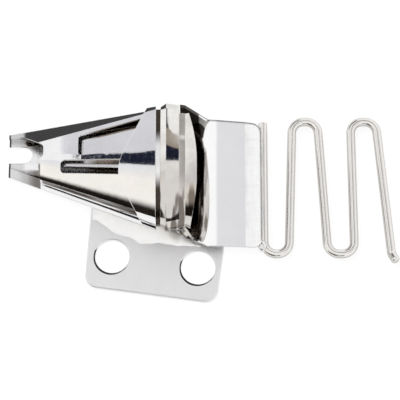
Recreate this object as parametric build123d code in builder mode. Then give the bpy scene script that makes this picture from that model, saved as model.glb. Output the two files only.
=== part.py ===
"""Bias tape binder: tapered folding scroll, tape guide and zigzag wire on a screw-down plate."""
import os
from collections import namedtuple
from math import radians, sqrt, tan

from build123d import *

os.makedirs("parts", exist_ok=True)

# Base plate, turned against the feed line
plate_thickness = 1.2
hole_margin = 1.3
plate_front = 7.9
plate_back = 25.0
plate_corner = 3.0
plate_flare = 2.2
plate_turn = -7.76
plate_edge_break = 0.25
hole_pitch = 20.0
hole_diameter = 8.0
hole_rim = 0.25
plate_length = hole_pitch + hole_diameter + 2 * hole_margin

# Sheet stock and fits
sheet = 0.7
former_sheet = 0.5
band_sheet = 0.6
collar_sheet = 0.8
guide_sheet = 0.7
solder_gap = 0.02

# Scroll at the nose: near is the fabric side, far is the fold side
nose_x = -34.3
nose_near = 21.2
nose_far = 30.25
nose_crest = 25.0
nose_split = 1.3
nose_facet = 4.3
nose_height = 3.4

# Scroll at the throat
throat_x = 0.3
throat_near = 6.4
throat_far = 32.05
throat_crest = 22.0
throat_split = 7.8
throat_facet = 0.35
facet_slope = 0.35
throat_height = 14.4
neck_length = 4.0
band_reach = 9.75
band_tip_y = 18.0
band_tip_radius = 8.5
tab_width = 5.0
former_near = 18.6
former_taper = 3.3
former_drop = 2.05

# Fabric slot and its lip
nose_slot = 0.8
throat_slot = 1.4
slot_lip = 0.9

# Nose prongs and the cut-back top leaf
leaf_setback = 7.9
notch_depth = 5.4
notch_width = 4.2
notch_y = 25.75

# Collar, lip and tape guide
collar_start = 1.3
collar_bulge = 0.35
collar_end = 5.6
lip_reach = 4.0
lip_flare = 0.9
crease_depth = 0.4
lip_above = 0.4
guide_rise = 3.0
guide_flat_x = 14.5
guide_bend_x = 20.8
guide_end_x = 24.6
guide_near = 2.8
guide_far = 33.6
guide_bend = 8.0
guide_corner = 2.2
ramp_radius = 16.0
cheek_end_x = 12.2

# Zigzag wire
wire_diameter = 2.0
wire_x = 25.1
wire_low = 1.4
wire_high = 33.7
wire_bend = 2.8
wire_turn = 5.9
wire_turns = [wire_turn * share for share in (0.966, 1.0, 1.034, 1.0)]
wire_leans = [wire_turn * share for share in (0.0, 0.2, 0.32, -0.034, 0.475)]

# Sections of the scroll, with the corner sizes that follow from them
Section = namedtuple("Section", "x near far crest split top far_y far_z foot near_y")
nose = Section(
    nose_x,
    nose_near,
    nose_far,
    nose_crest,
    plate_thickness + nose_split,
    plate_thickness + nose_height,
    nose_facet,
    nose_facet * facet_slope,
    1.0,
    0.2 * (nose_far - nose_near),
)
throat = Section(
    throat_x,
    throat_near,
    throat_far,
    throat_crest,
    plate_thickness + throat_split,
    plate_thickness + throat_height,
    throat_facet,
    throat_facet * facet_slope,
    1.2,
    0.34 * (throat_far - throat_near),
)


def along(x):
    """Section of the scroll at a place between the nose and the throat."""
    share = (x - nose.x) / (throat.x - nose.x)
    return Section(*[a + (b - a) * share for a, b in zip(nose, throat)])


def scroll_outline(section, inset, x):
    """Closed outline of the scroll, moved inwards by inset."""
    low = plate_thickness + inset
    top = section.top - inset
    near = section.near + inset
    far = section.far - inset
    far_y = max(section.far_y - 0.83 * inset, 0.2)
    far_z = max(section.far_z - 0.29 * inset, 0.2 * facet_slope)
    foot = section.foot - inset
    near_y = section.near_y - inset
    with BuildSketch(Plane.YZ.offset(x)) as face:
        with BuildLine():
            Line((section.crest, top), (far - far_y, top))
            Line((far - far_y, top), (far, top - far_z))
            Line((far, top - far_z), (far, low + foot))
            CenterArc((far - foot, low + foot), foot, 0, -90)
            Line((far - foot, low), (near + near_y, low))
            EllipticalCenterArc(
                (near + near_y, section.split), near_y, section.split - low, 270, arc_size=-90
            )
            EllipticalCenterArc(
                (section.crest, section.split),
                section.crest - near,
                top - section.split,
                180,
                arc_size=-90,
            )
        make_face()
    return face.sketch


def strip(section, y_from, y_to, z_from, z_to):
    """Rectangle across the scroll at one section."""
    with BuildSketch(Plane.YZ.offset(section.x)) as face:
        with BuildLine():
            Polyline((y_from, z_from), (y_to, z_from), (y_to, z_to), (y_from, z_to), close=True)
        make_face()
    return face.sketch


def scroll_loft(inset):
    """Solid of the whole cone, moved inwards by inset."""
    with BuildPart() as cone:
        loft(
            [
                scroll_outline(section, inset, section.x)
                for section in (nose, along((nose.x + throat.x) / 2), throat)
            ],
            ruled=True,
        )
    return cone.part


# Base plate
plate_plane = Plane.XY.rotated((0, 0, plate_turn))
with BuildPart() as base_plate:
    with BuildSketch(plate_plane):
        with BuildLine():
            FilletPolyline(
                (-plate_length / 2, -plate_front),
                (plate_length / 2, -plate_front),
                (plate_length / 2, plate_back),
                (-plate_length / 2 - plate_flare, plate_back),
                radius=plate_corner,
                close=True,
            )
        make_face()
        with Locations((-hole_pitch / 2, 0), (hole_pitch / 2, 0)):
            Circle(hole_diameter / 2, mode=Mode.SUBTRACT)
    extrude(amount=plate_thickness)
    chamfer(base_plate.faces().sort_by(Axis.Z)[-1].outer_wire().edges(), plate_edge_break)
    # Dished rims of the screw holes
    rim_height = plate_thickness - plate_edge_break / 2
    with Locations([plate_plane * Pos(x, 0, rim_height) for x in (-hole_pitch / 2, hole_pitch / 2)]):
        Cone(
            hole_diameter / 2,
            hole_diameter / 2 + hole_rim,
            plate_edge_break,
            mode=Mode.SUBTRACT,
        )
base_plate.part.label = "base_plate"
export_step(base_plate.part, "parts/base_plate.step")

# Outer scroll
slot_slope = (throat.split - nose.split) / (throat.x - nose.x)
split_plane = Plane(
    origin=(nose.x, 0, nose.split), x_dir=(1, 0, slot_slope), z_dir=(-slot_slope, 0, 1)
)
leaf_x = nose.x + leaf_setback
rail_left = -17.7
rail_right = -8.2
with BuildPart() as outer_scroll:
    add(scroll_loft(0))
    add(scroll_loft(sheet), mode=Mode.SUBTRACT)
    # Neck under the collar
    extrude(scroll_outline(throat, 0, throat.x), amount=neck_length)
    extrude(scroll_outline(throat, sheet, throat.x), amount=neck_length, mode=Mode.SUBTRACT)
    # Lip below the fabric slot
    loft(
        [
            strip(
                section,
                section.near - slot_lip,
                section.near + 2 * sheet,
                section.split - gap / 2 - sheet,
                section.split - gap / 2,
            )
            for section, gap in ((nose, nose_slot), (throat, throat_slot))
        ],
        ruled=True,
    )
    # Fabric slot
    loft(
        [
            strip(
                section,
                section.near - 3,
                section.near + 0.3 * (section.crest - section.near),
                section.split - gap / 2,
                section.split + gap / 2,
            )
            for section, gap in ((nose, nose_slot), (throat, throat_slot))
        ],
        ruled=True,
        mode=Mode.SUBTRACT,
    )
    # Top leaf cut back at the nose
    with BuildSketch(split_plane):
        with BuildLine():
            Polyline(
                (-5, nose_far - 1.0),
                (leaf_setback - 4.4, nose_far - 1.0),
                (leaf_setback + 0.8, nose_far - 3.6),
            )
            Spline(
                (leaf_setback + 0.8, nose_far - 3.6),
                (leaf_setback + 1.4, nose_far - 5.4),
                (leaf_setback, nose_far - 7.4),
            )
            Polyline(
                (leaf_setback, nose_far - 7.4),
                (leaf_setback, nose_near - 8),
                (-5, nose_near - 8),
                (-5, nose_far - 1.0),
            )
        make_face()
    extrude(amount=12, mode=Mode.SUBTRACT)
    # Needle notch between the prongs
    with BuildSketch(Plane.XY):
        with Locations((nose_x, notch_y)):
            SlotOverall(2 * notch_depth, notch_width)
    extrude(amount=plate_thickness + nose_height, mode=Mode.SUBTRACT)
    # Wide window
    with BuildSketch(Plane.XY.offset(plate_thickness + 2 * sheet)):
        with BuildLine():
            FilletPolyline(
                (rail_left, 27.7),
                (rail_left, 23.0),
                (rail_right + 2, 22.9),
                (rail_right + 6, 30.4),
                radius=0.6,
                close=True,
            )
        make_face()
    extrude(amount=30, mode=Mode.SUBTRACT)
    # Long window
    with BuildSketch(Plane.XY.offset(plate_thickness + 2 * sheet)):
        with BuildLine():
            FilletPolyline(
                (rail_left - 4.1, 22.3),
                (rail_left - 4.1, 19.3),
                (rail_right + 1, 17.4),
                (rail_right + 1, 20.9),
                radius=0.9,
                close=True,
            )
        make_face()
    extrude(amount=30, mode=Mode.SUBTRACT)
outer_scroll.part.label = "outer_scroll"
export_step(outer_scroll.part, "parts/outer_scroll.step")

# Inner former
former_x = leaf_x + 0.3
former_tip = along(former_x)


def former_outline(x, near_top, near_low, far, low, top, inset):
    """Folded tongue, open towards the fabric side, its top leaf the wider one."""
    with BuildSketch(Plane.YZ.offset(x)) as face:
        with BuildLine():
            FilletPolyline(
                (near_low - 4 * inset, low + inset),
                (far - inset, low + inset),
                (far - inset, top - inset),
                (near_top - 4 * inset, top - inset),
                radius=(0.9 - inset, 0.9 - inset),
            )
            Line((near_top - 4 * inset, top - inset), (near_low - 4 * inset, low + inset))
        make_face()
    return face.sketch


former_low = throat_crest + 0.6
neck_ceiling = throat.top - sheet
former_ceiling = neck_ceiling - former_drop
with BuildPart() as inner_former:
    for inset, blend in ((0, Mode.ADD), (former_sheet, Mode.SUBTRACT)):
        loft(
            [
                former_outline(
                    former_x,
                    former_near + former_taper,
                    former_low + 0.5,
                    former_tip.far - 2.3,
                    plate_thickness + 1.4,
                    former_tip.top - 1.7,
                    inset,
                ),
                former_outline(
                    throat_x,
                    former_near,
                    former_low,
                    throat_far - 1.7,
                    plate_thickness + 3.4,
                    former_ceiling,
                    inset,
                ),
            ],
            ruled=True,
            mode=blend,
        )
    # Root tab that carries the tongue
    with BuildSketch(Plane.XZ.offset(-former_low)):
        with BuildLine():
            Polyline(
                (throat_x - former_sheet, former_ceiling - former_sheet),
                (throat_x + former_sheet, former_ceiling - former_sheet),
                (throat_x + former_sheet, neck_ceiling - former_sheet),
                (throat_x + neck_length - 0.6, neck_ceiling - former_sheet),
                (throat_x + neck_length - 0.6, neck_ceiling),
                (throat_x, neck_ceiling),
                (throat_x, former_ceiling),
                (throat_x - former_sheet, former_ceiling),
                close=True,
            )
        make_face()
    extrude(amount=-tab_width)
inner_former.part.label = "inner_former"
export_step(inner_former.part, "parts/inner_former.step")

# Scroll band
band_end_x = throat_x - 0.14 * band_reach
with BuildPart() as scroll_band:
    add(scroll_loft(-solder_gap - band_sheet))
    add(scroll_loft(-solder_gap), mode=Mode.SUBTRACT)
    with BuildSketch(Plane.XY.offset(-5)):
        with BuildLine():
            FilletPolyline(
                (band_end_x, throat_far + 2),
                (throat_x - band_reach, band_tip_y),
                (band_end_x, throat_near - 3),
                radius=band_tip_radius,
            )
            Polyline(
                (band_end_x, throat_near - 3),
                (nose_x - 5, throat_near - 3),
                (nose_x - 5, throat_far + 2),
                (band_end_x, throat_far + 2),
            )
        make_face()
    extrude(amount=40, mode=Mode.SUBTRACT)
    with BuildSketch(Plane.XZ.offset(-50)):
        with BuildLine():
            Polyline(
                (nose_x - 5, -5),
                (10, -5),
                (10, throat.split + throat_slot / 2 + 0.4),
                (throat_x, throat.split + throat_slot / 2 + 0.4),
                (nose_x - 5, nose.split + nose_slot / 2),
                close=True,
            )
        make_face()
    extrude(amount=36, mode=Mode.SUBTRACT)
    with BuildSketch(Plane.XZ.offset(0)):
        with BuildLine():
            Polyline(
                (nose_x - 5, -5),
                (10, -5),
                (10, throat.split + throat_slot / 2),
                (throat_x, throat.split + throat_slot / 2),
                (nose_x, nose.split + nose_slot / 2),
                (nose_x - 5, nose.split),
                close=True,
            )
        make_face()
    extrude(amount=-30, mode=Mode.SUBTRACT)
scroll_band.part.label = "scroll_band"
export_step(scroll_band.part, "parts/scroll_band.step")

# Throat collar
top_radius = ramp_radius + guide_sheet
ramp_centre = plate_thickness + guide_rise - ramp_radius
ramp_at_collar = ramp_centre + sqrt(top_radius**2 - (guide_flat_x - collar_end) ** 2)
leg_end = ramp_at_collar + 0.3
collar_run = collar_end - collar_start
crease_x = collar_end + 0.35 * lip_reach
lip_side_x = collar_end + 0.55 * lip_reach
with BuildPart() as throat_collar:
    # Ring with a shoulder on its scroll side
    loft(
        [
            scroll_outline(throat, -solder_gap - 0.5 * collar_sheet, collar_start),
            scroll_outline(throat, -solder_gap - collar_sheet - collar_bulge, collar_start + 1.3),
            scroll_outline(throat, -solder_gap - collar_sheet, collar_end),
        ],
        ruled=True,
    )
    # Crease and flared tape lip
    loft(
        [
            scroll_outline(throat, -solder_gap - collar_sheet, collar_end),
            scroll_outline(throat, crease_depth - solder_gap - collar_sheet, crease_x),
            scroll_outline(throat, -solder_gap - collar_sheet - lip_flare, collar_end + lip_reach),
        ],
        ruled=True,
    )
    extrude(
        scroll_outline(throat, -solder_gap, collar_start), amount=collar_run, mode=Mode.SUBTRACT
    )
    loft(
        [
            scroll_outline(throat, -solder_gap, collar_end),
            scroll_outline(throat, crease_depth - solder_gap, crease_x),
            scroll_outline(throat, -solder_gap - lip_flare, collar_end + lip_reach),
        ],
        ruled=True,
        mode=Mode.SUBTRACT,
    )
    with BuildSketch(Plane.XY.offset(-5)):
        with BuildLine():
            ThreePointArc(
                (lip_side_x, throat_far - 1.2),
                (collar_end + lip_reach, throat_crest - 1.3),
                (lip_side_x, throat_near - 2),
            )
            Polyline(
                (lip_side_x, throat_near - 2),
                (lip_side_x, throat_near - 6),
                (collar_end + 9, throat_near - 6),
                (collar_end + 9, throat_far + 6),
                (collar_end, throat_far + 6),
                (collar_end, throat_far - 1.2),
                (lip_side_x, throat_far - 1.2),
            )
        make_face()
    extrude(amount=40, mode=Mode.SUBTRACT)
    # Open underside, and the lip kept to the upper leaf
    with BuildSketch(Plane.XZ.offset(10)):
        with BuildLine():
            Polyline(
                (collar_start - 1, -5),
                (collar_end + 9, -5),
                (collar_end + 9, throat.split + lip_above),
                (collar_end + 0.1, throat.split + lip_above),
                (collar_end + 0.1, leg_end),
                (collar_start - 1, leg_end),
                close=True,
            )
        make_face()
    extrude(amount=-60, mode=Mode.SUBTRACT)
throat_collar.part.label = "throat_collar"
export_step(throat_collar.part, "parts/throat_collar.step")

# Tape guide
ramp_run = sqrt(ramp_radius**2 - (ramp_radius - guide_rise) ** 2)
top_run = sqrt(top_radius**2 - (ramp_radius - guide_rise + guide_sheet) ** 2)
guide_low = plate_thickness + guide_rise
guide_top = guide_low + guide_sheet
bend_drop = (guide_end_x - guide_bend_x) * tan(radians(guide_bend))
floor_x = throat_x + neck_length + 0.2
cheek_start_x = collar_end + 0.15
with BuildPart() as tape_guide:
    with BuildSketch(Plane.XZ):
        with BuildLine():
            Line((floor_x, plate_thickness), (guide_flat_x - ramp_run, plate_thickness))
            RadiusArc(
                (guide_flat_x - ramp_run, plate_thickness), (guide_flat_x, guide_low), ramp_radius
            )
            Polyline(
                (guide_flat_x, guide_low),
                (guide_bend_x, guide_low),
                (guide_end_x, guide_low - bend_drop),
                (guide_end_x, guide_top - bend_drop),
                (guide_bend_x, guide_top),
                (guide_flat_x, guide_top),
            )
            RadiusArc(
                (guide_flat_x, guide_top),
                (guide_flat_x - top_run, plate_thickness + guide_sheet),
                -top_radius,
            )
            Polyline(
                (guide_flat_x - top_run, plate_thickness + guide_sheet),
                (floor_x, plate_thickness + guide_sheet),
                (floor_x, plate_thickness),
            )
        make_face()
    extrude(amount=-50)
    # Fold-side and fabric-side cheeks
    with BuildSketch(Plane.XZ.offset(-guide_far + guide_sheet)):
        with BuildLine():
            Polyline(
                (cheek_start_x, plate_thickness + guide_sheet / 2),
                (cheek_end_x, guide_low),
                (cheek_end_x, guide_top),
                (cheek_start_x + 1.2, throat.top - 1.5),
                (cheek_start_x, throat.top - 1.0),
                close=True,
            )
        make_face()
    extrude(amount=-guide_sheet)
    cheek_plane = Plane(
        origin=(cheek_end_x, guide_near, 0),
        x_dir=(cheek_start_x - cheek_end_x, throat_near - 0.6 - guide_near, 0),
        z_dir=(throat_near - 0.6 - guide_near, cheek_end_x - cheek_start_x, 0),
    )
    cheek_run = sqrt((cheek_end_x - cheek_start_x) ** 2 + (throat_near - 0.6 - guide_near) ** 2)
    with BuildSketch(cheek_plane):
        with BuildLine():
            Polyline(
                (0, -guide_low),
                (0, -guide_top),
                (cheek_run, -throat.split + 0.7),
                (cheek_run, -plate_thickness - guide_sheet / 2),
                close=True,
            )
        make_face()
    extrude(amount=guide_sheet)
    # Outline of the sheet from above
    with BuildSketch(Plane.XY) as guide_outline:
        with BuildLine():
            FilletPolyline(
                (floor_x, throat_near + 1.4),
                (cheek_start_x, throat_near - 0.6),
                (cheek_end_x, guide_near),
                (guide_end_x, guide_near - 0.4),
                (guide_end_x, guide_far - 1.0),
                (cheek_end_x, guide_far),
                (floor_x, guide_far),
                radius=(0, 0, 0, guide_corner, guide_corner, 0, 0),
                close=True,
            )
        make_face()
    extrude(amount=40, mode=Mode.INTERSECT)
tape_guide.part.label = "tape_guide"
export_step(tape_guide.part, "parts/tape_guide.step")

# Zigzag wire, its first leg soldered under the bent edge of the guide
wire_radius = wire_diameter / 2
edge_under = guide_low - bend_drop
wire_z = edge_under - sqrt(wire_radius**2 - (wire_x - guide_end_x) ** 2) - solder_gap
wire_corners = [Vector(wire_x, wire_high - 0.4, wire_z)]
for leg, lean in enumerate(wire_leans):
    leg_end_y = wire_high if leg % 2 else wire_low
    corner = Vector(wire_corners[-1].X + lean, leg_end_y, wire_z)
    wire_corners.append(corner)
    if leg < len(wire_turns):
        wire_corners.append(corner + Vector(wire_turns[leg], 0, 0))
# Free end turned up
wire_corners.append(corner + Vector(wire_radius, -2 * wire_radius, wire_radius))
wire_radii = [wire_bend] * (2 * len(wire_turns)) + [wire_diameter]
with BuildPart() as zigzag_wire:
    with BuildLine() as wire_path:
        FilletPolyline(*wire_corners, radius=wire_radii)
    with BuildSketch(Plane(origin=wire_path.line @ 0, z_dir=wire_path.line % 0)):
        Circle(wire_radius)
    sweep()
    # Rounded free end
    fillet(zigzag_wire.faces().sort_by(Axis.X)[-1].edges(), wire_radius * 0.6)
zigzag_wire.part.label = "zigzag_wire"
export_step(zigzag_wire.part, "parts/zigzag_wire.step")
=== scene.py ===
import math

import bmesh
import bpy
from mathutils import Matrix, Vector


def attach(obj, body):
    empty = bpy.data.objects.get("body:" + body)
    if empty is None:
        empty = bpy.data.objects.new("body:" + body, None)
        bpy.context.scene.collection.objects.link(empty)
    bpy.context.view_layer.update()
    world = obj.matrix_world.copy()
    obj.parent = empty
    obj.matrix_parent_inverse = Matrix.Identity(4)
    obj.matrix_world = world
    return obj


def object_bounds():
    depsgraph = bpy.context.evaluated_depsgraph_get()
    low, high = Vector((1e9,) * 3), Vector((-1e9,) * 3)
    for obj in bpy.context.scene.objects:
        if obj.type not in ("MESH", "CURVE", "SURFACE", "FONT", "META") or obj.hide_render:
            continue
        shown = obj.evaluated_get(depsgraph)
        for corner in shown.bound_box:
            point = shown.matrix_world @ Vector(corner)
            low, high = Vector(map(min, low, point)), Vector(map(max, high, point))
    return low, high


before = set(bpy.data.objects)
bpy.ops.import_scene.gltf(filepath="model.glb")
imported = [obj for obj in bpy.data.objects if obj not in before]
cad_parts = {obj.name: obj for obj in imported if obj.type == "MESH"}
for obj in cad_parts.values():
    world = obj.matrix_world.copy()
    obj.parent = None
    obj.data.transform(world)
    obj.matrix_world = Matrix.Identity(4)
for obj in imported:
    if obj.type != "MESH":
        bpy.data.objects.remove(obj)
cad_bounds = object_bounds()
scene = bpy.context.scene
scene.view_settings.view_transform = "Standard"

MM = 0.001

# Camera as in the photo
TILT = math.radians(18.0)
PHOTO_WIDTH = 400
PIXEL = 0.2328
AIM = Vector((10.34, 14.95, 1.2)) * MM
REACH = 450 * MM
SENSOR = 36.0
CLIP_NEAR, CLIP_FAR = 0.01, 20.0

# Places on the part, in mm
PLATE_TOP = 1.2
PLATE_TURN = math.radians(-7.76)
HOLE_PITCH = 20.0
ALONG_PLATE = Vector((math.cos(PLATE_TURN), math.sin(PLATE_TURN), 0.0))
HOLES = [ALONG_PLATE * side * HOLE_PITCH / 2 for side in (-1, 1)]
HOLE_REACH = 4.6
NOSE_X = cad_bounds[0][0] / MM
LEAF_X = -26.8
THROAT_X = 0.3
COLLAR_X = 1.3
LIP_X = 5.4
NOSE_AXIS = Vector((0.0, 26.0, 2.8))
THROAT_AXIS = Vector((0.0, 20.5, 8.6))

# Sockets of the colour mix node, which has several of each name
MIX_FACTOR, MIX_FIRST, MIX_SECOND, MIX_RESULT = 0, 6, 7, 2


# Node helpers
def material(name):
    mat = bpy.data.materials.new(name)
    mat.use_nodes = True
    tree = mat.node_tree
    tree.nodes.clear()
    return mat, tree


def node(tree, kind, **values):
    made = tree.nodes.new(kind)
    for key, value in values.items():
        setattr(made, key, value)
    return made


def link(tree, out_node, out_name, in_node, in_name):
    tree.links.new(out_node.outputs[out_name], in_node.inputs[in_name])


def noise(tree, vector, scale, detail, rough=0.5):
    made = node(tree, "ShaderNodeTexNoise")
    made.inputs["Scale"].default_value = scale
    made.inputs["Detail"].default_value = detail
    made.inputs["Roughness"].default_value = rough
    tree.links.new(vector, made.inputs["Vector"])
    return made.outputs["Fac"]


def spread(tree, value, span, onto=(0.0, 1.0), easing="LINEAR"):
    made = node(tree, "ShaderNodeMapRange", interpolation_type=easing)
    for name, number in zip(("From Min", "From Max", "To Min", "To Max"), (*span, *onto)):
        made.inputs[name].default_value = number
    tree.links.new(value, made.inputs["Value"])
    return made.outputs["Result"]


def eased(tree, value, span):
    return spread(tree, value, span, easing="SMOOTHSTEP")


def fade(tree, place, span):
    """Eased share along an axis of the part, between two places in mm."""
    return eased(tree, place, [end * MM for end in span])


def stretched(tree, scale=(1.0, 1.0, 1.0), turn=0.0):
    coords = node(tree, "ShaderNodeTexCoord")
    place = node(tree, "ShaderNodeMapping")
    place.inputs["Scale"].default_value = scale
    place.inputs["Rotation"].default_value = (0.0, 0.0, turn)
    link(tree, coords, "Object", place, "Vector")
    return place.outputs["Vector"]


def blend(tree, factor, first, second):
    """Mix of two colours, each a plain one or the output of a node."""
    made = node(tree, "ShaderNodeMix", data_type="RGBA")
    tree.links.new(factor, made.inputs[MIX_FACTOR])
    for place, colour in ((MIX_FIRST, first), (MIX_SECOND, second)):
        if isinstance(colour, tuple):
            made.inputs[place].default_value = (*colour, 1.0)
        else:
            tree.links.new(colour, made.inputs[place])
    return made.outputs[MIX_RESULT]


def maths(tree, operation, *values):
    made = node(tree, "ShaderNodeMath", operation=operation)
    for place, value in zip(made.inputs, values):
        if isinstance(value, (int, float)):
            place.default_value = value
        else:
            tree.links.new(value, place)
    return made.outputs[0]


def product(tree, first, *factors):
    for factor in factors:
        first = maths(tree, "MULTIPLY", first, factor)
    return first


def parted(tree, vector):
    made = node(tree, "ShaderNodeSeparateXYZ")
    tree.links.new(vector, made.inputs["Vector"])
    return made.outputs["X"], made.outputs["Y"], made.outputs["Z"]


def bumped(tree, height, distance, normal=None):
    made = node(tree, "ShaderNodeBump")
    made.inputs["Strength"].default_value = 1.0
    made.inputs["Distance"].default_value = distance * MM
    tree.links.new(height, made.inputs["Height"])
    if normal is not None:
        tree.links.new(normal, made.inputs["Normal"])
    return made.outputs["Normal"]


def metal(name):
    mat, tree = material(name)
    out = node(tree, "ShaderNodeOutputMaterial")
    shade = node(tree, "ShaderNodeBsdfPrincipled")
    shade.inputs["Metallic"].default_value = 1.0
    link(tree, shade, "BSDF", out, "Surface")
    return mat, tree, shade


def cut_edge(tree, rim, way, span):
    """Share of a sheared edge that faces one way, from the rounded normal."""
    face = node(tree, "ShaderNodeNewGeometry")
    change = node(tree, "ShaderNodeVectorMath", operation="SUBTRACT")
    link(tree, rim, "Normal", change, 0)
    link(tree, face, "Normal", change, 1)
    towards = node(tree, "ShaderNodeVectorMath", operation="DOT_PRODUCT")
    link(tree, change, "Vector", towards, 0)
    towards.inputs[1].default_value = way
    return eased(tree, towards.outputs["Value"], span)


# Painted shade, flux runs and dulled ends: a span runs from clear to full, in mm along an axis or as a
# part of the normal
HOLLOW_LEFT, HOLLOW_RIGHT, HOLLOW_NEAR = (-32.4, -30.2), (-25.4, -26.2), (25.0, 26.8)
HOLLOW_TILT = (0.02, -0.3)
PRONG_LEFT, PRONG_RIGHT, PRONG_FAR = (-32.8, -27.6), (-26.5, -26.8), (22.4, 21.6)
PRONG_SHARE = 0.85
# Painted shade in the hollow beside the notch and under the near prong
NOSE_SHADE_BROWN = (0.07, 0.052, 0.042)
FOLD_TOP, FOLD_FOOT, FOLD_RISE = (-0.46, -0.70), (-0.83, -0.79), (-0.12, 0.02)
FOLD_LEFT, FOLD_FAR = (-26.6, -25.8), (24.0, 22.0)
# Painted shade on the turn above the slot and on the lip edge
FOLD_SHADE_BROWN = (0.055, 0.042, 0.032)
LIP_TILT = (-0.90, -0.95)
LIP_SHARE = 0.7
STREAK_ALONG, STREAK_ACROSS = 110.0, 9.0
STREAK_DETAIL = 2.0
STREAK_SPAN, STREAK_SHARE = (0.38, 0.62), (0.74, 1.0)
# Painted shade: dark line along the near edge of the notch
NOTCH_EDGE_WAY = (0.0, 1.0, 0.0)
NOTCH_EDGE_RIM, NOTCH_EDGE_LEFT, NOTCH_EDGE_FAR = (0.08, 0.25), (-28.0, -29.0), (24.6, 24.0)
NOTCH_EDGE_SHADE = (0.03, 0.026, 0.024)
ENDS_LEFT = (-33.75, -34.1)
ENDS_SHADE_BLACK = (0.035, 0.032, 0.03)
DULL_LEFT = (-29.8, -31.4)


def fold_streaks(tree, x, tilt):
    """Streaks that run along the cone, from the place along it and the slope across it."""
    along = node(tree, "ShaderNodeCombineXYZ")
    tree.links.new(maths(tree, "MULTIPLY", x, STREAK_ALONG), along.inputs["X"])
    tree.links.new(maths(tree, "MULTIPLY", tilt, STREAK_ACROSS), along.inputs["Y"])
    streak = noise(tree, along.outputs["Vector"], 1.0, STREAK_DETAIL)
    return spread(tree, streak, STREAK_SPAN, STREAK_SHARE)


def nose_shade(tree, plain, rim, colour):
    """Painted shade in the hollow beside the notch, on the turn above the slot, at the prong ends and on
    the lip edge.
    """
    x, y, _ = parted(tree, plain)
    face = node(tree, "ShaderNodeNewGeometry")
    _, tilt, rise = parted(tree, face.outputs["Normal"])
    hollow = product(
        tree,
        fade(tree, x, HOLLOW_LEFT),
        fade(tree, x, HOLLOW_RIGHT),
        fade(tree, y, HOLLOW_NEAR),
        eased(tree, tilt, HOLLOW_TILT),
    )
    prong = product(
        tree,
        fade(tree, x, PRONG_LEFT),
        fade(tree, x, PRONG_RIGHT),
        fade(tree, y, PRONG_FAR),
        PRONG_SHARE,
    )
    # Painted shade in the hollow and under the near prong
    colour = blend(tree, maths(tree, "MAXIMUM", hollow, prong), colour, NOSE_SHADE_BROWN)
    # Painted shade on the lower turn of the cone and on the lip edge, broken into streaks
    turn = product(tree, eased(tree, tilt, FOLD_TOP), eased(tree, tilt, FOLD_FOOT))
    lip_cut = product(tree, eased(tree, tilt, LIP_TILT), LIP_SHARE)
    fold = product(
        tree,
        maths(tree, "MAXIMUM", turn, lip_cut),
        eased(tree, rise, FOLD_RISE),
        fade(tree, x, FOLD_LEFT),
        fade(tree, y, FOLD_FAR),
        fold_streaks(tree, x, tilt),
    )
    colour = blend(tree, fold, colour, FOLD_SHADE_BROWN)
    # Painted shade along the near edge of the notch
    notch_edge_shade = product(
        tree, cut_edge(tree, rim, NOTCH_EDGE_WAY, NOTCH_EDGE_RIM), fade(tree, x, NOTCH_EDGE_LEFT), fade(tree, y, NOTCH_EDGE_FAR)
    )
    colour = blend(tree, notch_edge_shade, colour, NOTCH_EDGE_SHADE)
    # Painted shade at the prong ends
    colour = blend(tree, fade(tree, x, ENDS_LEFT), colour, ENDS_SHADE_BLACK)
    return colour, fade(tree, x, DULL_LEFT)


GROOVE_FAR, GROOVE_NEAR = (23.0, 27.0), (17.5, 13.0)
# Painted shade at the ends of the groove
GROOVE_SHADE_BROWN = (0.055, 0.044, 0.036)


def groove_shade(tree, plain, rim, colour):
    """Painted shade in the groove at both ends of the collar, plated in the middle."""
    y = parted(tree, plain)[1]
    ends = maths(tree, "MAXIMUM", fade(tree, y, GROOVE_FAR), fade(tree, y, GROOVE_NEAR))
    return blend(tree, ends, colour, GROOVE_SHADE_BROWN), None


MOUTH_X, MOUTH_Y = 10.0, 23.5
BOW_DEPTH = 1.5
BOW_SPAN = (11.5, 1.0)
MOUTH_EDGE, MOUTH_NEAR = (-0.2, 0.3), (7.0, 8.5)
MOUTH_BROWN = (0.075, 0.062, 0.053)


def mouth_shade(tree, plain, colour):
    """Dark mouth of the throat, in a bow that follows the lip above it."""
    x, y, _ = parted(tree, plain)
    off = maths(tree, "ABSOLUTE", maths(tree, "SUBTRACT", y, MOUTH_Y * MM))
    bow = maths(tree, "MULTIPLY", fade(tree, off, BOW_SPAN), BOW_DEPTH * MM)
    depth = maths(tree, "SUBTRACT", maths(tree, "ADD", bow, MOUTH_X * MM), x)
    mouth = product(tree, fade(tree, depth, MOUTH_EDGE), fade(tree, y, MOUTH_NEAR))
    return blend(tree, mouth, colour, MOUTH_BROWN)


GUIDE_EDGE_WAY = (0.45, 0.89, 0.0)
GUIDE_EDGE_RIM = (0.05, 0.14)
GUIDE_EDGE_SHADE = (0.05, 0.047, 0.044)


def throat_marks(tree, plain, rim, colour):
    """Painted shade: the mouth of the throat, and dark far and right edges of the guide."""
    # Painted shade along the far and right edges of the guide
    guide_edge_shade = cut_edge(tree, rim, GUIDE_EDGE_WAY, GUIDE_EDGE_RIM)
    return blend(tree, guide_edge_shade, mouth_shade(tree, plain, colour), GUIDE_EDGE_SHADE), None


def cheek_marks(tree, plain, rim, colour):
    """Mouth of the throat alone."""
    return mouth_shade(tree, plain, colour), None


COLLAR_SHADE_NEAR, COLLAR_SHADE_SHARE = (23.0, 16.0), 0.55
COLLAR_SHADE_GREY = (0.54, 0.505, 0.47)
RUN_STRETCH = (800.0, 110.0, 110.0)
RUN_DETAIL = 1.0
RUN_SPAN, RUN_NEAR = (0.48, 0.62), (15.0, 12.0)
RUN_BROWN = (0.2, 0.175, 0.155)


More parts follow.
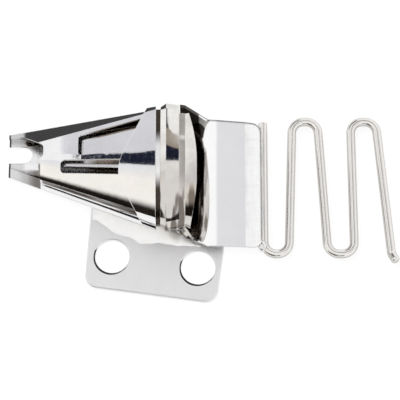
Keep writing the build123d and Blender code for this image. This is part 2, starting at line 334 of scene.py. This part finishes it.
def collar_marks(tree, plain, rim, colour):
    """Painted shade darkening the near half of the collar, with flux runs at its end."""
    y = parted(tree, plain)[1]
    # Painted shade, darker towards the near side of the collar
    colour = blend(tree, product(tree, fade(tree, y, COLLAR_SHADE_NEAR), COLLAR_SHADE_SHARE), colour, COLLAR_SHADE_GREY)
    runs = noise(tree, stretched(tree, RUN_STRETCH), 1.0, RUN_DETAIL)
    run = product(tree, eased(tree, runs, RUN_SPAN), fade(tree, y, RUN_NEAR))
    return blend(tree, run, colour, RUN_BROWN), None


CRESCENT_SHIFT = Vector((-0.24, -0.42, PLATE_TOP))
CRESCENT_REACH = (4.12, 4.0)
CRESCENT_SHADE = (0.035, 0.032, 0.03)


def hole_shade(tree, plain, rim, colour):
    """Painted shade: dark crescents on the near side of the screw holes."""
    for hole in HOLES:
        reach = node(tree, "ShaderNodeVectorMath", operation="DISTANCE")
        tree.links.new(plain, reach.inputs[0])
        reach.inputs[1].default_value = (hole + CRESCENT_SHIFT) * MM
        # Painted shade crescent beside each hole
        colour = blend(tree, fade(tree, reach.outputs["Value"], CRESCENT_REACH), colour, CRESCENT_SHADE)
    return colour, None


# Plated sheet metal: noises are scale, detail and roughness
PLATING = (0.88, 0.88, 0.885)
CLOUD = (260.0, 4.0, 0.6)
CLOUD_SPAN = (0.35, 0.7)
FINE = (1.0, 2.0, 0.6)
FINE_SPAN = (0.12, 0.42)
LINE_STRETCH, CROSS_STRETCH = (90.0, 2600.0, 2600.0), (2200.0, 160.0, 900.0)
DENT_ROUGH = 0.4
DULL_GAIN = 0.5
RIM_SAMPLES = 4


def plated(
    name, light, dark, rough, wave, scratch, turn=0.1,
    edge=0.18, shade_from=None, dents=(95.0, 1.5), marked=None, worn=True,
):
    """Uneven polish, fine scratches, soft dents and worn edges, with sizes in mm."""
    mat, tree, shade = metal(name)
    plain = stretched(tree)
    colour = blend(tree, spread(tree, noise(tree, plain, *CLOUD), CLOUD_SPAN), light, dark)
    if shade_from:
        # Plating runs out towards the inside of the fold
        # Painted shade inside the fold: plating colour towards the nose, darker towards the throat
        x = parted(tree, plain)[0]
        colour = blend(tree, spread(tree, x, [end * MM for end in shade_from]), PLATING, colour)
    rim = node(tree, "ShaderNodeBevel", samples=RIM_SAMPLES)
    rim.inputs["Radius"].default_value = edge * MM
    dull = None
    if marked:
        colour, dull = marked(tree, plain, rim, colour)
    tree.links.new(colour, shade.inputs["Base Color"])
    lines = noise(tree, stretched(tree, LINE_STRETCH, turn), *FINE)
    cross = noise(tree, stretched(tree, CROSS_STRETCH, turn), *FINE)
    fine = maths(tree, "MULTIPLY", lines, cross)
    polish = spread(tree, fine, FINE_SPAN, rough)
    if dull is not None:
        polish = maths(tree, "ADD", polish, maths(tree, "MULTIPLY", dull, DULL_GAIN))
    tree.links.new(polish, shade.inputs["Roughness"])
    soft = noise(tree, plain, *dents, DENT_ROUGH)
    swell = bumped(tree, soft, wave, rim.outputs["Normal"] if worn else None)
    tree.links.new(bumped(tree, fine, scratch, swell), shade.inputs["Normal"])
    return mat


# Drawn wire: noises as above, and the rise is the upward part of the normal
WIRE_TINT = (0.5, 0.49, 0.48)
WIRE_DARK, WIRE_LIGHT = (0.50, 0.48, 0.455), (0.92, 0.90, 0.875)
DRAW_LINES = (5.0, 2.0, 0.6)
DRAW_DEPTH = 0.01
DRAW_SPAN, DRAW_SHARE = (0.3, 0.7), (-0.14, 0.2)
TOP_LIGHT_RISE, TOP_LIGHT_SHARE = (0.12, 0.72), (0.0, 0.8)
WIRE_PATCH = (330.0, 3.0, 0.6)
PATCH_SPAN, PATCH_ROUGH = (0.3, 0.7), (0.16, 0.24)


def drawn_wire(name):
    """Drawn stainless wire: lines along the length, painted highlight along the top and painted shade on
    the sides.
    """
    mat, tree, shade = metal(name)
    shade.inputs["Specular Tint"].default_value = (*WIRE_TINT, 1.0)
    face = node(tree, "ShaderNodeNewGeometry")
    rise = parted(tree, face.outputs["Normal"])[2]
    around = node(tree, "ShaderNodeCombineXYZ")
    tree.links.new(rise, around.inputs["X"])
    lines = noise(tree, around.outputs["Vector"], *DRAW_LINES)
    # Painted highlight on the top of the wire, painted shade on its sides
    top_light = spread(tree, rise, TOP_LIGHT_RISE, TOP_LIGHT_SHARE)
    tone = maths(tree, "ADD", top_light, spread(tree, lines, DRAW_SPAN, DRAW_SHARE))
    tree.links.new(blend(tree, tone, WIRE_DARK, WIRE_LIGHT), shade.inputs["Base Color"])
    patch = noise(tree, stretched(tree), *WIRE_PATCH)
    tree.links.new(spread(tree, patch, PATCH_SPAN, PATCH_ROUGH), shade.inputs["Roughness"])
    tree.links.new(bumped(tree, lines, DRAW_DEPTH), shade.inputs["Normal"])
    return mat


# Finishes
POLISHED = {
    "light": (0.90, 0.90, 0.905),
    "dark": (0.84, 0.84, 0.85),
    "rough": (0.03, 0.085),
    "wave": 0.08,
    "scratch": 0.0008,
}
DULLED = {
    "light": (0.95, 0.94, 0.925),
    "dark": (0.86, 0.85, 0.83),
    "rough": (0.55, 0.7),
    "wave": 0.06,
    "scratch": 0.001,
    "edge": 0.05,
}
chrome = plated("bright_chrome", **POLISHED)
scroll_chrome = plated("scroll_chrome", **POLISHED, marked=nose_shade)
collar_chrome = plated(
    "collar_chrome",
    light=(0.87, 0.855, 0.835),
    dark=(0.70, 0.67, 0.64),
    rough=(0.03, 0.085),
    wave=1.1,
    scratch=0.0008,
    dents=(100.0, 0.0),
    marked=collar_marks,
)
nickel = plated(
    "satin_nickel",
    light=(0.885, 0.88, 0.885),
    dark=(0.86, 0.855, 0.86),
    rough=(0.42, 0.52),
    wave=0.01,
    scratch=0.0004,
    turn=-0.13,
    edge=0.3,
    marked=hole_shade,
)
guide_nickel = plated(
    "guide_nickel",
    light=(0.965, 0.96, 0.96),
    dark=(0.94, 0.935, 0.935),
    rough=(0.06, 0.11),
    wave=0.02,
    scratch=0.0006,
    turn=1.5,
    edge=0.75,
    marked=throat_marks,
    worn=False,
)
# Painted shade: dark brown finish for the inside of the folded sheets
inside_shade_finish = plated(
    "inside_shade",
    light=(0.36, 0.29, 0.235),
    dark=(0.12, 0.098, 0.08),
    rough=(0.2, 0.36),
    wave=0.03,
    scratch=0.001,
    shade_from=(-16.8, -14.0),
)
dull_plating = plated("dull_plating", **DULLED)
dull_cheek = plated("dull_cheek", **DULLED, marked=cheek_marks)
groove_plating_and_shade = plated(
    "groove_plating_and_shade",
    light=(0.90, 0.895, 0.89),
    dark=(0.80, 0.795, 0.79),
    rough=(0.08, 0.2),
    wave=0.1,
    scratch=0.001,
    marked=groove_shade,
)
# Painted shade: near-black finish for the hole rims
rim_shade = plated(
    "rim_shade",
    light=(0.03, 0.028, 0.026),
    dark=(0.015, 0.014, 0.013),
    rough=(0.3, 0.4),
    wave=0.01,
    scratch=0.001,
    edge=0.05,
)
tin = plated(
    "solder",
    light=(0.86, 0.855, 0.85),
    dark=(0.70, 0.69, 0.68),
    rough=(0.12, 0.3),
    wave=0.1,
    scratch=0.001,
    turn=0.4,
)
# Solder wash, partly painted reflection: pale and bright where the scroll is reflected in the plate
tin_wash_sheen = plated(
    "solder_wash_sheen",
    light=(0.98, 0.975, 0.97),
    dark=(0.93, 0.925, 0.92),
    rough=(0.3, 0.42),
    wave=0.06,
    scratch=0.001,
    turn=0.4,
    edge=0.02,
)
steel = drawn_wire("stainless_wire")
for name, finish in (
    ("base_plate", nickel),
    ("tape_guide", guide_nickel),
    ("outer_scroll", scroll_chrome),
    ("inner_former", chrome),
    ("scroll_band", chrome),
    ("throat_collar", collar_chrome),
    ("zigzag_wire", steel),
):
    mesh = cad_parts[name].data
    mesh.materials.clear()
    mesh.materials.append(finish)


# Second finishes on single faces
def add_finish(piece, finish):
    piece.data.materials.append(finish)
    return len(piece.data.materials) - 1


def placed(piece, polygon):
    """Middle of a face in mm and the way it faces, in the part's frame."""
    spot = piece.matrix_world @ polygon.center / MM
    return spot, piece.matrix_world.to_3x3() @ polygon.normal


GROOVE_Z = 4.0
END_FACING = 0.7
INWARD_SHARE = 0.3
GROOVE_SLACK = 0.01


def paint_inside():
    """Painted shade on the inside of the folded sheets, and the groove between band and collar with
    painted shade at its ends.
    """
    for name in ("outer_scroll", "scroll_band", "throat_collar", "inner_former"):
        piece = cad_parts[name]
        inside_slot = add_finish(piece, inside_shade_finish)
        groove_slot = add_finish(piece, groove_plating_and_shade)
        for polygon in piece.data.polygons:
            spot, facing = placed(piece, polygon)
            share = min(max((spot.x - NOSE_X) / (THROAT_X - NOSE_X), 0.0), 1.0)
            inwards = NOSE_AXIS.lerp(THROAT_AXIS, share) - spot
            inwards.x = 0.0
            inside = LEAF_X < spot.x < LIP_X and abs(facing.x) < END_FACING
            inside = inside and facing.dot(inwards) > INWARD_SHARE * inwards.length
            past_throat = spot.x > THROAT_X - GROOVE_SLACK
            groove = past_throat and spot.x < COLLAR_X + GROOVE_SLACK and name != "inner_former"
            neck = past_throat and name == "outer_scroll"
            if inside:
                polygon.material_index = inside_slot
            # Groove finish, with painted shade at its ends
            elif (groove or neck) and spot.z > GROOVE_Z:
                polygon.material_index = groove_slot


DULL_Y = 24.0
DULL_FACING = 0.3
DULL_ENDS = (
    ("throat_collar", dull_plating, (1.2, 6.5), 1),
    ("tape_guide", dull_cheek, (5.0, 12.3), -1),
)


def paint_dull_ends():
    """Rubbed-dull far end of the collar and inner face of the guide's far cheek."""
    for name, finish, (low_x, high_x), way in DULL_ENDS:
        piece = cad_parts[name]
        dull_slot = add_finish(piece, finish)
        for polygon in piece.data.polygons:
            spot, facing = placed(piece, polygon)
            far = low_x < spot.x < high_x and spot.y > DULL_Y
            if polygon.material_index == 0 and far and facing.y * way > DULL_FACING:
                polygon.material_index = dull_slot


RIM_RISE = (0.2, 0.95)
RIM_WAY = Vector((0.55, 0.83, 0.0))
RIM_FACING = 0.12


def paint_hole_rims():
    """Painted shade: near-black finish on the sloped hole-rim faces that face one way."""
    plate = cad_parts["base_plate"]
    rim_slot = add_finish(plate, rim_shade)
    for polygon in plate.data.polygons:
        spot, facing = placed(plate, polygon)
        sloped = RIM_RISE[0] < facing.z < RIM_RISE[1]
        inner = min((spot - hole).xy.length for hole in HOLES) < HOLE_REACH
        if sloped and inner and facing.dot(RIM_WAY) > RIM_FACING:
            polygon.material_index = rim_slot


paint_inside()
paint_dull_ends()
paint_hole_rims()


# Solder
def smooth_piece(name, shape, finish):
    """Object with smooth faces from a closed bmesh."""
    bmesh.ops.recalc_face_normals(shape, faces=shape.faces)
    mesh = bpy.data.meshes.new(name)
    shape.to_mesh(mesh)
    shape.free()
    mesh.polygons.foreach_set("use_smooth", [True] * len(mesh.polygons))
    mesh.materials.append(finish)
    piece = bpy.data.objects.new(name, mesh)
    scene.collection.objects.link(piece)
    return piece


BEAD_AROUND = 14
BEAD_WAVE = 0.16
BEAD_STEP_PHASE, BEAD_TURN_PHASE = 2.3, 1.7


def lump(name, rings):
    """Closed bead from rings of (middle, radius), with a hand-laid waviness."""
    shape = bmesh.new()
    rows = []
    for step, (middle, radius) in enumerate(rings):
        row = []
        for turn in range(BEAD_AROUND):
            angle = 2 * math.pi * turn / BEAD_AROUND
            phase = BEAD_STEP_PHASE * step + BEAD_TURN_PHASE * math.sin(angle)
            wave = 1.0 + BEAD_WAVE * math.sin(phase) * math.cos(angle * 2)
            offset = Vector((math.cos(angle), 0.0, math.sin(angle))) * radius * wave
            row.append(shape.verts.new((Vector(middle) + offset) * MM))
        rows.append(row)
    for first, second in zip(rows, rows[1:]):
        for turn in range(BEAD_AROUND):
            after = (turn + 1) % BEAD_AROUND
            shape.faces.new((first[turn], first[after], second[after], second[turn]))
    shape.faces.new(rows[0])
    shape.faces.new(reversed(rows[-1]))
    bead = smooth_piece(name, shape, tin)
    smooth = bead.modifiers.new("smooth", "SUBSURF")
    smooth.levels = 1
    smooth.render_levels = 1
    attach(bead, "root")


SEAM_X, SEAM_Z = 24.72, 3.78
SEAM_LOW, SEAM_HIGH = 5.6, 31.0
SEAM_STEPS = 46
SEAM_RADIUS = 0.26
SEAM_SWELL, SEAM_SWELL_PACE = 0.07, 9.0
SEAM_RIPPLE, SEAM_RIPPLE_PACE, SEAM_RIPPLE_START = 0.04, 31.0, 1.0
SEAM_END, SEAM_TAPER = 0.25, 8


def lay_seam():
    """Bead along the wire's first leg."""
    seam = []
    for step in range(SEAM_STEPS + 1):
        share = step / SEAM_STEPS
        thick = SEAM_RADIUS + SEAM_SWELL * math.sin(SEAM_SWELL_PACE * share)
        thick += SEAM_RIPPLE * math.sin(SEAM_RIPPLE_PACE * share + SEAM_RIPPLE_START)
        taper = min(1.0, SEAM_TAPER * share + SEAM_END, SEAM_TAPER * (1 - share) + SEAM_END)
        seam.append(((SEAM_X, SEAM_LOW + (SEAM_HIGH - SEAM_LOW) * share, SEAM_Z), thick * taper))
    lump("solder_seam", seam)


BLOB_X, BLOB_Y, BLOB_Z = 24.7, 3.1, 3.35
BLOB_LENGTH, BLOB_RADIUS = 3.0, 1.2
BLOB_STEPS = 8
BLOB_CAP = 0.06
BLOB_FULLNESS = 0.7


def lay_blob():
    """Drop where the wire leaves the guide."""
    blob = []
    for step in range(BLOB_STEPS + 1):
        share = step / BLOB_STEPS
        swell = math.sin(math.pi * (BLOB_CAP + (1 - 2 * BLOB_CAP) * share))
        middle = (BLOB_X, BLOB_Y + BLOB_LENGTH * (share - 0.5), BLOB_Z)
        blob.append((middle, BLOB_RADIUS * swell**BLOB_FULLNESS))
    lump("solder_blob", blob)


# Wash: places along X with the Y of its rim, the Y of its root and its rise at the root
WASH_RIM = ((-14.6, 10.0), (-6.7, 5.9), (-3.0, 4.5), (4.0, 4.1), (10.4, 3.5))
WASH_ROOT = ((-14.6, 14.4), (-6.7, 11.6), (0.3, 8.9), (5.9, 6.0), (10.4, 3.8))
WASH_RISE = ((-14.6, 1.3), (0.3, 1.9), (5.9, 1.2), (10.4, 0.05))
WASH_LONG, WASH_WIDE = 80, 8
WASH_HOLLOW = 1.35
WASH_LEAST = 0.2
WASH_LIFT, WASH_SINK = 0.004, 0.02
WASH_END = 0.25
WASH_BOW, WASH_BOW_PACE, WASH_BOW_START = 0.2, 0.8, 0.6
WASH_RIPPLE, WASH_RIPPLE_PACE = 0.08, 2.1
WASH_SHARP = math.radians(30)


def between(spots, at):
    """Smooth value at a place along a row of (place, value)."""
    for (x0, y0), (x1, y1) in zip(spots, spots[1:]):
        if at <= x1:
            break
    share = min(max((at - x0) / (x1 - x0), 0.0), 1.0)
    return y0 + (y1 - y0) * share * share * (3 - 2 * share)


def lay_wash():
    """Solder that runs out from the foot of the scroll over the plate, pale and bright as a painted
    reflection of the scroll.
    """
    shape = bmesh.new()
    upper, lower = [], []
    for step in range(WASH_LONG + 1):
        x = WASH_RIM[0][0] + (WASH_RIM[-1][0] - WASH_RIM[0][0]) * step / WASH_LONG
        ragged = WASH_BOW * math.sin(WASH_BOW_PACE * x + WASH_BOW_START)
        ragged += WASH_RIPPLE * math.sin(WASH_RIPPLE_PACE * x)
        calm = min(1.0, WASH_END * step, WASH_END * (WASH_LONG - step))
        rim_y = between(WASH_RIM, x) + ragged * calm
        root_y = max(between(WASH_ROOT, x), rim_y + WASH_LEAST)
        rise = between(WASH_RISE, x)
        for cross in range(WASH_WIDE + 1):
            share = cross / WASH_WIDE
            y = rim_y + (root_y - rim_y) * share
            z = PLATE_TOP + WASH_LIFT + rise * share**WASH_HOLLOW
            upper.append(shape.verts.new(Vector((x, y, z)) * MM))
            lower.append(shape.verts.new(Vector((x, y, PLATE_TOP - WASH_SINK)) * MM))
    row = WASH_WIDE + 1
    for step in range(WASH_LONG):
        for cross in range(WASH_WIDE):
            at = step * row + cross
            shape.faces.new((upper[at], upper[at + row], upper[at + row + 1], upper[at + 1]))
            shape.faces.new((lower[at], lower[at + 1], lower[at + row + 1], lower[at + row]))
        for cross in (0, WASH_WIDE):
            at = step * row + cross
            shape.faces.new((upper[at], lower[at], lower[at + row], upper[at + row]))
    for step in (0, WASH_LONG):
        for cross in range(WASH_WIDE):
            at = step * row + cross
            shape.faces.new((upper[at], upper[at + 1], lower[at + 1], lower[at]))
    wash = smooth_piece("solder_wash_sheen", shape, tin_wash_sheen)
    wash.data.set_sharp_from_angle(angle=WASH_SHARP)
    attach(wash, "root")


lay_seam()
lay_blob()
lay_wash()


# Stage: cards that only metal sees, in mm and degrees
RING_RADIUS = 500.0
RING_MIDDLE = Vector((4.0, 20.0, 6.0))
ROOF_Z = 406.0


def plain_card(name, corners, low_colour, high_colour, edge):
    """Flat card shaded from its first edge to its last."""
    mesh = bpy.data.meshes.new(name)
    mesh.from_pydata([Vector(c) * MM for c in corners], [], [(0, 1, 2, 3)])
    shade_map = mesh.uv_layers.new(name="shade")
    for loop, height in zip(shade_map.data, (0.0, 0.0, 1.0, 1.0)):
        loop.uv = (0.0, height)
    card = bpy.data.objects.new(name, mesh)
    scene.collection.objects.link(card)
    mat, tree = material(name)
    out = node(tree, "ShaderNodeOutputMaterial")
    glow = node(tree, "ShaderNodeEmission")
    coords = node(tree, "ShaderNodeTexCoord")
    ramp = eased(tree, parted(tree, coords.outputs["UV"])[1], edge)
    tone = blend(tree, ramp, low_colour, high_colour or low_colour)
    tree.links.new(tone, glow.inputs["Color"])
    link(tree, glow, "Emission", out, "Surface")
    mesh.materials.append(mat)
    card.visible_diffuse = False
    card.visible_shadow = False
    card.visible_camera = False


def ring_card(name, facing, rise, ends, low_colour, high_colour=None, edge=(0.0, 1.0)):
    """Card on one side of the object, from one elevation to another, seen from its middle."""
    side = Vector((math.sin(math.radians(facing)), math.cos(math.radians(facing)), 0.0))
    across = Vector((side.y, -side.x, 0.0))
    corners = []
    for angle, end in ((rise[0], 0), (rise[0], 1), (rise[1], 1), (rise[1], 0)):
        spot = RING_MIDDLE + side * (RING_RADIUS * math.cos(math.radians(angle)))
        spot += Vector((0, 0, RING_RADIUS * math.sin(math.radians(angle))))
        corners.append(spot + across * ends[end])
    plain_card(name, corners, low_colour, high_colour, edge)


def roof_card(name, x, y, low_colour, high_colour=None, edge=(0.0, 1.0)):
    """Level card above the object, shaded from its near edge to its far edge."""
    corners = [(x[0], y[0], ROOF_Z), (x[1], y[0], ROOF_Z), (x[1], y[1], ROOF_Z), (x[0], y[1], ROOF_Z)]
    plain_card(name, corners, low_colour, high_colour, edge)


DARK_BLUE = (0.012, 0.014, 0.03)
WARM_WHITE = (1.0, 0.965, 0.90)
CONE_RIGHT = -258.0
CONE_STRIP_Y = (95.0, 178.0)
COLLAR_LEFT_RIGHT = (50.0, 140.0)
COLLAR_STRIP_Y = (70.0, 182.0)
ring_card(
    "card_far",
    facing=0.0,
    rise=(12.0, 42.0),
    ends=(-620.0, -20.0),
    low_colour=(0.062, 0.06, 0.062),
)
ring_card(
    "card_near",
    facing=180.0,
    rise=(8.0, 57.0),
    ends=(-4.0, 620.0),
    low_colour=(0.018, 0.014, 0.011),
    high_colour=WARM_WHITE,
    edge=(0.48, 0.95),
)
ring_card(
    "card_right",
    facing=90.0,
    rise=(50.0, 66.0),
    ends=(-260.0, 260.0),
    low_colour=(0.4, 0.39, 0.38),
    high_colour=(0.9, 0.89, 0.88),
)
ring_card(
    "card_low",
    facing=180.0,
    rise=(12.0, 40.0),
    ends=(-150.0, -40.0),
    low_colour=(0.03, 0.027, 0.025),
    high_colour=(0.85, 0.84, 0.82),
    edge=(0.5, 1.0),
)
roof_card("card_strip", x=(-338.0, CONE_RIGHT), y=CONE_STRIP_Y, low_colour=DARK_BLUE)
roof_card(
    "card_grey",
    x=(-350.0, CONE_RIGHT),
    y=(CONE_STRIP_Y[1], 330.0),
    low_colour=(0.70, 0.70, 0.73),
    high_colour=(0.9, 0.9, 0.92),
)
roof_card(
    "card_warm",
    x=(-620.0, CONE_RIGHT),
    y=(-230.0, CONE_STRIP_Y[0]),
    low_colour=WARM_WHITE,
    high_colour=(0.86, 0.86, 0.88),
    edge=(0.6, 1.0),
)
roof_card("card_collar", x=COLLAR_LEFT_RIGHT, y=COLLAR_STRIP_Y, low_colour=DARK_BLUE)
roof_card(
    "card_beige",
    x=COLLAR_LEFT_RIGHT,
    y=(COLLAR_STRIP_Y[1], 420.0),
    low_colour=(0.36, 0.31, 0.26),
    high_colour=(0.86, 0.84, 0.80),
    edge=(0.0, 0.45),
)
roof_card(
    "card_flat",
    x=(-8.0, 60.0),
    y=(75.0, 330.0),
    low_colour=(0.755, 0.75, 0.77),
    high_colour=(0.775, 0.77, 0.785),
)

# Floor, world and lamps, in metres
FLOOR_SIZE = 6.0
FLOOR_DROP = 0.00005
FLOOR_GLOW = 0.9
FLOOR_WHITE = (0.9, 0.9, 0.9, 1.0)
WHITE = (1.0, 1.0, 1.0, 1.0)
SKY_LEVELS = (0.55, 1.0)


def seen_directly(tree):
    """One for rays from the camera, a mirror or through glass, and zero for the rest."""
    path = node(tree, "ShaderNodeLightPath")
    seen = maths(tree, "MAXIMUM", path.outputs["Is Camera Ray"], path.outputs["Is Glossy Ray"])
    return maths(tree, "MAXIMUM", seen, path.outputs["Is Transmission Ray"])


def lay_floor():
    """White floor that keeps a soft shadow."""
    bpy.ops.mesh.primitive_plane_add(size=FLOOR_SIZE, location=(0, 0, -FLOOR_DROP))
    floor = bpy.context.object
    floor.name = "floor"
    mat, tree = material("floor")
    out = node(tree, "ShaderNodeOutputMaterial")
    dull = node(tree, "ShaderNodeBsdfDiffuse")
    dull.inputs["Color"].default_value = FLOOR_WHITE
    glow = node(tree, "ShaderNodeEmission")
    glow.inputs["Color"].default_value = WHITE
    glow.inputs["Strength"].default_value = 1.0
    mix = node(tree, "ShaderNodeMixShader")
    tree.links.new(maths(tree, "MULTIPLY", seen_directly(tree), FLOOR_GLOW), mix.inputs[0])
    tree.links.new(dull.outputs[0], mix.inputs[1])
    tree.links.new(glow.outputs[0], mix.inputs[2])
    tree.links.new(mix.outputs[0], out.inputs["Surface"])
    floor.data.materials.append(mat)


def light_world():
    """White sky, dimmer as a light than it is seen."""
    world = bpy.data.worlds.new("studio")
    scene.world = world
    world.use_nodes = True
    tree = world.node_tree
    tree.nodes.clear()
    out = node(tree, "ShaderNodeOutputWorld")
    sky = node(tree, "ShaderNodeBackground")
    sky.inputs["Color"].default_value = WHITE
    tree.links.new(spread(tree, seen_directly(tree), (0.0, 1.0), SKY_LEVELS), sky.inputs["Strength"])
    tree.links.new(sky.outputs[0], out.inputs["Surface"])


def soft_lamp(name, spot, size, power):
    data = bpy.data.lights.new(name, "AREA")
    data.shape = "DISK"
    data.size = size
    data.energy = power
    lamp = bpy.data.objects.new(name, data)
    lamp.location = spot
    lamp.rotation_euler = (AIM - Vector(spot)).to_track_quat("-Z", "Y").to_euler()
    lamp.visible_glossy = False
    scene.collection.objects.link(lamp)


lay_floor()
light_world()
soft_lamp("lamp_over", spot=(-0.15, 0.1, 0.6), size=0.5, power=4.0)
soft_lamp("lamp_side", spot=(0.45, -0.3, 0.4), size=0.35, power=1.4)

camera_data = bpy.data.cameras.new("camera")
camera_data.sensor_width = SENSOR
camera_data.lens = SENSOR * REACH / (PHOTO_WIDTH * PIXEL * MM)
camera_data.clip_start = CLIP_NEAR
camera_data.clip_end = CLIP_FAR
camera = bpy.data.objects.new("camera", camera_data)
camera.location = AIM + Vector((0, -math.sin(TILT), math.cos(TILT))) * REACH
camera.rotation_euler = (TILT, 0.0, 0.0)
scene.collection.objects.link(camera)
scene.camera = camera
